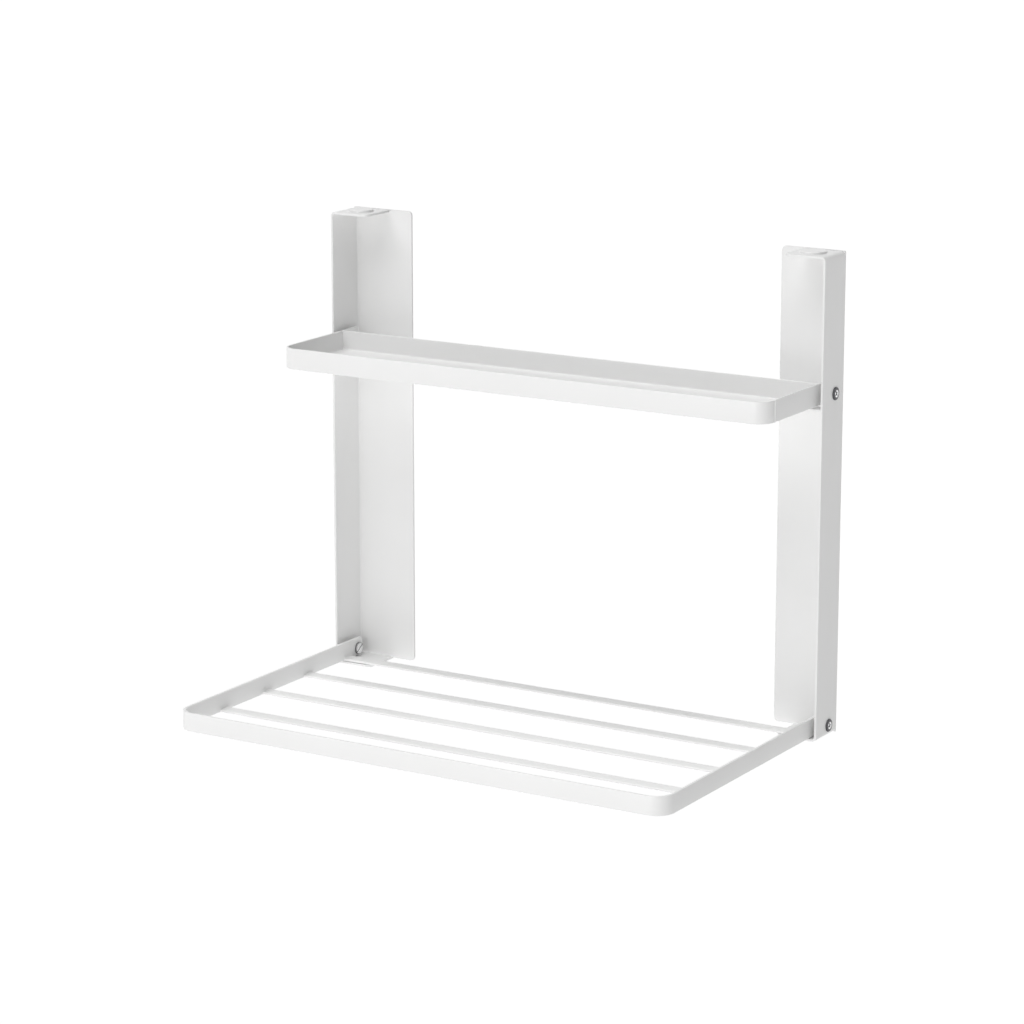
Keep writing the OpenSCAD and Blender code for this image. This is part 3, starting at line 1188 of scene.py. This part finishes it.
@dataclass
class Pivot:
    """One pivot: a cross-recessed screw outside, a slotted barrel inside, and a washer in the gap between.

    Args:
        shelf: Which shelf it carries, as its nodes are named.
        axis: Y and Z of its axis.
        cross_turn: Turn of the screw's recess, in degrees.
        slot_turn: Turn of the barrel's slot, in degrees.
        turns: Faces round it.
        shank: Radius of the screw's shank.
        pitch: From one thread to the next.
        thread: Depth of the thread.
        cross: Half width, reach and depth of the screw's recess.
        head: Height of the barrel's head.
        edge: Rounding of the barrel's head.
        sleeve: Outer and inner radius of the barrel's sleeve.
        slot: Half width and depth of the slot in its head.
        washer_bore: Radius of the washer's hole.
        washer_edge: Rounding of the washer.
    """

    shelf: str
    axis: tuple[float, float]
    cross_turn: float
    slot_turn: float
    turns: int = 144
    shank: float = 1.8 * MM
    pitch: float = 0.7 * MM
    thread: float = 0.18 * MM
    cross: tuple[float, float, float] = (0.64 * MM, 2.8 * MM, 1.35 * MM)
    head: float = 1.6 * MM
    edge: float = 0.35 * MM
    sleeve: tuple[float, float] = (3.0 * MM, 1.86 * MM)
    slot: tuple[float, float] = (0.6 * MM, 0.8 * MM)
    washer_bore: float = 3.06 * MM
    washer_edge: float = 0.25 * MM

    def fitted(self, made: Surface, x: float, side: Side, node: str, word: str) -> bpy.types.Object:
        """Puts a turned piece on this pivot's axis.

        Args:
            made: The piece, turned about X.
            x: X of its origin on the right-hand side.
            side: Left or right.
            node: What it is called after the side and the shelf.
            word: How it is made.

        Returns:
            The piece.
        """
        name = f"{side.word}_{self.shelf}_{node}_{word}"
        return placed(made, (x, *self.axis)).mirrored(side).to_object(name)

    def screw(self, side: Side, outer_x: float) -> bpy.types.Object:
        """Low-crowned head with a rounded shoulder and a cross-shaped recess, and a thread round the shank.

        Args:
            side: Left or right.
            outer_x: Outer face of the side wall.

        Returns:
            The screw.
        """
        low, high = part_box(f"right_{self.shelf}_screw")
        head_r = (high.z - low.z) / 2
        head_h = high.x - outer_x
        corner = 0.6 * head_h
        crown = 0.15 * head_h
        flat = np.linspace(0.0005 * head_r, head_r - corner, 44)
        rise = head_h - crown * (flat / (head_r - corner)) ** 2
        turn = np.linspace(0, math.pi / 2, 9)[1:]
        shoulder = head_h - crown - corner + corner * np.cos(turn)
        radius = np.concatenate([flat, head_r - corner + corner * np.sin(turn)])
        dome = np.concatenate([rise, shoulder])
        end = low.x - outer_x
        crest = np.arange(0, -end - 0.4 * MM, self.pitch / 2)
        thread = np.stack([self.shank - self.thread * (np.arange(len(crest)) % 2), -crest, 0 * crest], axis=1)
        tip = np.array([[self.shank * 0.8, end, 0], [CENTRE, end, 0]])
        face = np.stack([radius, dome, np.ones(len(radius))], axis=1)
        profile = np.concatenate([face, [[head_r, 0, 0]], thread, tip])
        turn = math.radians(self.cross_turn)
        half, reach, deep = self.cross

        def recess(y: np.ndarray, z: np.ndarray) -> np.ndarray:
            """Depth of the cross: two slots that taper towards their ends."""
            u, v = y * math.cos(turn) + z * math.sin(turn), z * math.cos(turn) - y * math.sin(turn)
            return deep * np.maximum(self.groove(u, v, half, reach), self.groove(v, u, half, reach))

        return self.fitted(lathe(profile, self.turns, recess), outer_x, side, "screw", "turned")

    @staticmethod
    def groove(across: np.ndarray, along: np.ndarray, half: float, reach: float) -> np.ndarray:
        """From 1 inside a slot to 0 outside it, with sloping walls and tapering ends.

        Args:
            across: Distance from its middle line.
            along: Distance from its middle, along that line.
            half: Half its width.
            reach: Half its length.

        Returns:
            The share of its depth.
        """
        wall = np.clip((half - np.abs(across)) / (0.14 * MM) + 0.5, 0, 1)
        end = np.clip((reach - np.abs(along)) / (0.9 * MM), 0, 1)
        return wall * end

    def barrel(self, side: Side) -> bpy.types.Object:
        """Flat slotted head and a bored sleeve.

        Args:
            side: Left or right.

        Returns:
            The barrel.
        """
        low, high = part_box(f"right_{self.shelf}_barrel")
        head_r = (high.z - low.z) / 2
        edge = self.edge
        sleeve_r, bore_r = self.sleeve
        head_x = low.x + self.head
        bore_x = head_x + 0.12 * MM
        radius = np.linspace(CENTRE, head_r - edge, 40)
        curve = np.linspace(0, math.pi / 2, 6)
        face = np.stack([radius, low.x + 0 * radius, np.ones(len(radius))], axis=1)
        rim_x = low.x + edge - edge * np.cos(curve)
        rim = np.stack([head_r - edge + edge * np.sin(curve), rim_x, 0 * curve], axis=1)
        rest = [
            [head_r, head_x, 0],
            [sleeve_r, head_x, 0],
            [sleeve_r, high.x, 0],
            [bore_r, high.x, 0],
            [bore_r, bore_x, 0],
            [CENTRE, bore_x, 0],
        ]
        turn = math.radians(self.slot_turn)
        half, deep = self.slot

        def slot(y: np.ndarray, z: np.ndarray) -> np.ndarray:
            """Depth of the slot right across the head. It is negative, because the head looks inwards."""
            return -deep * self.groove(y * math.cos(turn) + z * math.sin(turn), 0 * y, half, 1)

        made = lathe(np.concatenate([face, rim[1:], rest]), self.turns, slot)
        return self.fitted(made, 0, side, "barrel", "turned")

    def washer(self, side: Side) -> bpy.types.Object:
        """Flat ring with softened edges.

        Args:
            side: Left or right.

        Returns:
            The washer.
        """
        low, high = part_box(f"right_{self.shelf}_washer")
        outer, inner = (high.z - low.z) / 2, self.washer_bore
        radial, height = RoundedLoop().section(
            np.array([(outer - inner) / 2]), np.array([low.x]), np.array([high.x]), self.washer_edge
        )
        profile = np.stack([(outer + inner) / 2 + radial[0], height[0]], axis=1)
        return self.fitted(ring_lathe(profile, 96), 0, side, "washer", "moulded")


@dataclass
class Catch:
    """Round cap on a top tab, whose neck holds a disc magnet in the tab's hole.

    Args:
        sheet: Thickness of the tab.
        neck: Radius of the neck.
        wall: Wall round the magnet.
        dish: How far the cap's face lies below its rim.
        lip: Width of the slope between them.
        chamfer: Chamfer of the magnet's edges.
    """

    sheet: float
    neck: float = 8 * MM
    wall: float = 1.2 * MM
    dish: float = 0.12 * MM
    lip: float = 0.8 * MM
    chamfer: float = 0.25 * MM

    def place(self) -> tuple[float, float, float]:
        """X, Y and lowest Z of the right-hand catch's axis."""
        low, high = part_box("right_catch_cap")
        return (low.x + high.x) / 2, (low.y + high.y) / 2, low.z

    def cap(self, side: Side) -> bpy.types.Object:
        """Flat-topped head with a full-round rim, on a hollow neck."""
        low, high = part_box("right_catch_cap")
        head_r = (high.x - low.x) / 2
        top = high.z - low.z
        rim = (top - self.sheet) / 2
        curve = np.linspace(0, math.pi / 2, 9)
        face_r = np.linspace(CENTRE, head_r - rim - self.lip, 24)
        face = np.stack([face_r, top - self.dish + 0 * face_r], axis=1)
        lip = np.stack([head_r - rim + rim * np.sin(curve), top - rim + rim * np.cos(curve)], axis=1)
        tab, neck, inner = self.sheet, self.neck, self.neck - self.wall
        rest = [[head_r, tab], [neck, tab], [neck, 0], [inner, 0], [inner, tab], [CENTRE, tab]]
        made = stood_up(lathe(np.concatenate([face, lip, rest]), 120))
        return placed(made, self.place()).mirrored(side).to_object(f"{side.word}_catch_cap_pressed")

    def magnet(self, side: Side) -> bpy.types.Object:
        """Disc with chamfered edges."""
        low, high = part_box("right_catch_magnet")
        radius, height, cut = (high.x - low.x) / 2, high.z - low.z, self.chamfer
        upper = [[CENTRE, height], [radius - cut, height], [radius, height - cut]]
        profile = np.array(upper + [[radius, cut], [radius - cut, 0], [CENTRE, 0]])
        made = stood_up(lathe(profile, 96))
        return placed(made, self.place()).mirrored(side).to_object(f"{side.word}_catch_magnet_disc")


def magnet_sheet(side: Side, corner: float = 4 * MM, edge: float = 0.15 * MM) -> bpy.types.Object:
    """Thin sheet behind a back plate, with rounded free corners.

    Args:
        side: Left or right.
        corner: Radius of the corners next to the free edge.
        edge: Rounding of the cut edges.

    Returns:
        The sheet.
    """
    low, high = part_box("right_magnet_sheet")
    half = (high.z - low.z) / 2

    def ring(inset: float) -> np.ndarray:
        """One ring's outline: along the sheet's height, then across from the free edge."""
        return plan_outline(half, 0, high.x - low.x, corner, inset, 6)

    thick = high.y - low.y
    lower = [(ring(12 * MM), 0), (ring(edge), 0), (ring(0), edge)]
    rings = lower + [(outline, thick - height) for outline, height in reversed(lower)]
    flat = lofted(rings)
    points = flat.points
    middle = (low.z + high.z) / 2
    turned = np.stack([low.x + points[:, 1], low.y + points[:, 2], middle + points[:, 0]], axis=1)
    return Surface(turned, flat.faces).mirrored(side).to_object(f"{side.word}_magnet_sheet_cut")


def tray_rest(side: Side, corner: float = 3 * MM, edge: float = 0.4 * MM) -> bpy.types.Object:
    """Welded ledge under the tray, with rounded free corners.

    Args:
        side: Left or right.
        corner: Radius of the free corners.
        edge: Rounding of its edges.

    Returns:
        The ledge.
    """
    low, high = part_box("right_tray_rest")
    half = (high.y - low.y) / 2

    def ring(inset: float) -> np.ndarray:
        """One ring's outline: along the wall's depth, then out from the free edge."""
        return plan_outline(half, 0, high.x - low.x, corner, inset, 6)

    thick = high.z - low.z
    curve = np.linspace(0, math.pi / 2, 4)
    rings = [(ring(2.5 * MM), 0)]
    rings += [(ring(edge * (1 - math.sin(a))), edge * (1 - math.cos(a))) for a in curve]
    rings += [(ring(edge * (1 - math.cos(a))), thick - edge * (1 - math.sin(a))) for a in curve]
    rings.append((ring(2.5 * MM), thick))
    flat = lofted(rings)
    points = flat.points
    middle = (low.y + high.y) / 2
    turned = np.stack([low.x + points[:, 1], middle + points[:, 0], low.z + points[:, 2]], axis=1)
    return Surface(turned, flat.faces).mirrored(side).to_object(f"{side.word}_tray_rest_welded")


# ---------------------------------------------------------------- studio


@dataclass(frozen=True)
class SoftLight:
    """A broad round light.

    Args:
        name: Its name.
        towards: Direction from the object to the light.
        strength: Brightness that it gives a white face square to it.
        spread: Its width as the object sees it, in degrees.
        distance: Distance from the object to the light, or 0 for one that is the same all over the object.
    """

    name: str
    towards: tuple[float, float, float]
    strength: float
    spread: float
    distance: float = 0.0

    def build(self) -> None:
        """Puts the light into the scene."""
        if self.distance:
            lamp = bpy.data.lights.new(self.name, "AREA")
            lamp.shape = "DISK"
            lamp.size = 2 * self.distance * math.tan(math.radians(self.spread / 2))
            lamp.energy = self.strength * math.pi**2 * self.distance**2
        else:
            lamp = bpy.data.lights.new(self.name, "SUN")
            lamp.energy = self.strength * math.pi
            lamp.angle = math.radians(self.spread)
        made = bpy.data.objects.new(self.name, lamp)
        low, high = (Vector(corner) for corner in CAD_BOX)
        made.location = (low + high) / 2 + Vector(self.towards).normalized() * self.distance
        made.rotation_euler = Vector(self.towards).to_track_quat("Z", "Y").to_euler()
        bpy.context.scene.collection.objects.link(made)


@dataclass(frozen=True)
class Studio:
    """Pale floor, soft light and the camera.

    Args:
        azimuth: The camera's turn round the object, in degrees.
        elevation: Its height above the horizon, in degrees.
        aim: The point that it looks at, from the middle of the object's box.
        distance: From the camera to that point.
        lens: Focal length on a 36 mm sensor.
        floor_drop: How far the floor lies below the object.
        floor_half: Half the floor's side.
        ambient: Brightness of the studio's walls, as they light the object.
        lamps: The soft lights.
    """

    azimuth: float = 31.095
    elevation: float = 13.264
    aim: tuple[float, float, float] = (0.0002, 0.0125, -0.0181)
    distance: float = 2.946
    lens: float = 126.87
    floor_drop: float = 2.2
    floor_half: float = 60.0
    ambient: float = 0.11
    lamps: tuple[SoftLight, ...] = (
        SoftLight("front", (0.02, -0.99, 0.12), 0.255, 36.0, 2.8),
        SoftLight("overhead", (-0.12, -0.30, 0.95), 0.63, 60.0),
    )

    def camera(self) -> None:
        """Sets up the camera."""
        low, high = (Vector(corner) for corner in CAD_BOX)
        aim = (low + high) / 2 + Vector(self.aim)
        turn, rise = math.radians(self.azimuth), math.radians(self.elevation)
        back = Vector((math.sin(turn) * math.cos(rise), -math.cos(turn) * math.cos(rise), math.sin(rise)))
        lens = bpy.data.cameras.new("camera")
        lens.lens = self.lens
        lens.sensor_width = 36.0
        lens.clip_start, lens.clip_end = 0.05, 100.0
        made = bpy.data.objects.new("camera", lens)
        made.location = aim + back * self.distance
        made.rotation_euler = back.to_track_quat("Z", "Y").to_euler()
        bpy.context.scene.collection.objects.link(made)
        bpy.context.scene.camera = made

    def floor(self) -> None:
        """Lays a large flat floor below the object."""
        corners = np.array([[-1, -1], [1, -1], [1, 1], [-1, 1]]) * self.floor_half
        lowered = np.insert(corners, 2, -self.floor_drop, axis=1)
        made = Surface(lowered, [[0, 1, 2, 3]]).to_object("studio_floor")
        made.data.materials.append(PaleFloor().build())

    def walls(self) -> None:
        """Pale walls all round: white to look at and in reflections, and dimmer as a light."""
        world = bpy.data.worlds.new("studio")
        world.use_nodes = True
        tree = world.node_tree
        lit = tree.nodes["Background"]
        lit.inputs["Color"].default_value = (1, 1, 1, 1)
        lit.inputs["Strength"].default_value = self.ambient
        seen = tree.nodes.new("ShaderNodeBackground")
        seen.inputs["Color"].default_value = (1, 1, 1, 1)
        path = tree.nodes.new("ShaderNodeLightPath")
        choose = tree.nodes.new("ShaderNodeMixShader")
        tree.links.new(path.outputs["Is Diffuse Ray"], choose.inputs[0])
        tree.links.new(seen.outputs[0], choose.inputs[1])
        tree.links.new(lit.outputs[0], choose.inputs[2])
        tree.links.new(choose.outputs[0], tree.nodes["World Output"].inputs["Surface"])
        bpy.context.scene.world = world

    def build(self) -> None:
        """Sets up the whole studio."""
        self.camera()
        self.floor()
        self.walls()
        for lamp in self.lamps:
            lamp.build()
        bpy.context.scene.view_settings.view_transform = "Standard"


# ---------------------------------------------------------------- assembly


class DryingRack:
    """The whole object: makes each sub-assembly and puts it on its body.

    Args:
        rack_corner: Outer radius of the rack's front corners.
        tray_corner: Outer radius of the tray's front corners.
        hole: Radius of the pivot holes.
        tray_seam: Height of the weld line on the tray's band.
    """

    def __init__(
        self,
        rack_corner: float = 16 * MM,
        tray_corner: float = 14 * MM,
        hole: float = 3.06 * MM,
        tray_seam: float = 0.7 * MM,
    ) -> None:
        self.rack_corner = rack_corner
        self.tray_corner = tray_corner
        self.hole = hole
        self.tray_seam = tray_seam
        self.plan = Plan.from_frame()
        head_low, head_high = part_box("right_rack_screw")
        head = (head_high.z - head_low.z) / 2
        self.pivots = [
            Pivot("rack", self.plan.rack_axis, cross_turn=18, slot_turn=-55),
            Pivot("tray", self.plan.tray_axis, cross_turn=32, slot_turn=-20),
        ]
        plain = (PowderCoat(), Nylon(), FerriteRubber(), Nickel())
        finishes = {finish.name: finish.build() for finish in plain}
        finishes["catch_cap"] = PowderCoat(name="catch_cap", gloss=0.28).build()
        for pivot in self.pivots:
            barrel_low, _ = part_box(f"right_{pivot.shelf}_barrel")
            steel = PlatedSteel(f"{pivot.shelf}_pivot_steel", *pivot.axis, head, head_high.x, barrel_low.x)
            finishes[steel.name] = steel.build()
        self.workshop = Workshop(finishes)

    def wall_frame(self) -> None:
        """Uprights, magnetic sheets, tray rests, catches and pivots."""
        catch = Catch(self.plan.sheet)
        upright = Upright(self.plan)
        dress = self.workshop.dress
        for side in Side:
            word = side.word
            made = upright.build(side, catch, self.hole)
            dress(made, f"{word}_upright", "wall_frame", "powder_coat")
            dress(magnet_sheet(side), f"{word}_magnet_sheet", "wall_frame", "magnet_sheet")
            dress(tray_rest(side), f"{word}_tray_rest", "wall_frame", "powder_coat")
            dress(catch.cap(side), f"{word}_catch_cap", "wall_frame", "catch_cap")
            dress(catch.magnet(side), f"{word}_catch_magnet", "wall_frame", "nickel_magnet")
            for pivot in self.pivots:
                stem, steel = f"{word}_{pivot.shelf}", f"{pivot.shelf}_pivot_steel"
                screw = pivot.screw(side, self.plan.outer_x)
                dress(screw, f"{stem}_screw", "wall_frame", "zinc_steel", steel)
                dress(pivot.barrel(side), f"{stem}_barrel", "wall_frame", "zinc_steel", steel)
                dress(pivot.washer(side), f"{stem}_washer", "wall_frame", "nylon")

    def rack(self) -> None:
        """The rack's edge strip and its cross bars."""
        _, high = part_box("rack_frame")
        _, bar_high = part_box("rack_bar_1")
        thick = high.x - bar_high.x
        axis, corner = self.plan.rack_axis, self.rack_corner
        strip = EdgeStrip("rack_frame_strip", "rack_frame", axis, corner, thick, self.hole)
        self.workshop.dress(strip.build(), "rack_frame", "rack", "powder_coat")
        for number in range(1, 5):
            node = f"rack_bar_{number}"
            self.workshop.dress(CrossBar(node).build(), node, "rack", "powder_coat")

    def tray(self) -> None:
        """The tray's band, floor and back strip."""
        _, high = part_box("tray_band")
        _, floor_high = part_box("tray_floor")
        thick = high.x - floor_high.x
        axis, corner = self.plan.tray_axis, self.tray_corner
        band = EdgeStrip("tray_band_strip", "tray_band", axis, corner, thick, self.hole, self.tray_seam)
        dress = self.workshop.dress
        dress(band.build(), "tray_band", "tray", "powder_coat")
        dress(TrayFloor(corner - thick).build(), "tray_floor", "tray", "powder_coat")
        dress(BackStrip().build(), "tray_back_strip", "tray", "powder_coat")

    def build(self) -> None:
        """Makes every piece."""
        self.wall_frame()
        self.rack()
        self.tray()
        log.info("%d pieces", self.workshop.made)


def main() -> None:
    """Builds the studio and the object."""
    logging.basicConfig(level=logging.INFO, format="%(message)s")
    Studio().build()
    DryingRack().build()
    bpy.context.view_layer.update()


if __name__ == "__main__":
    main()
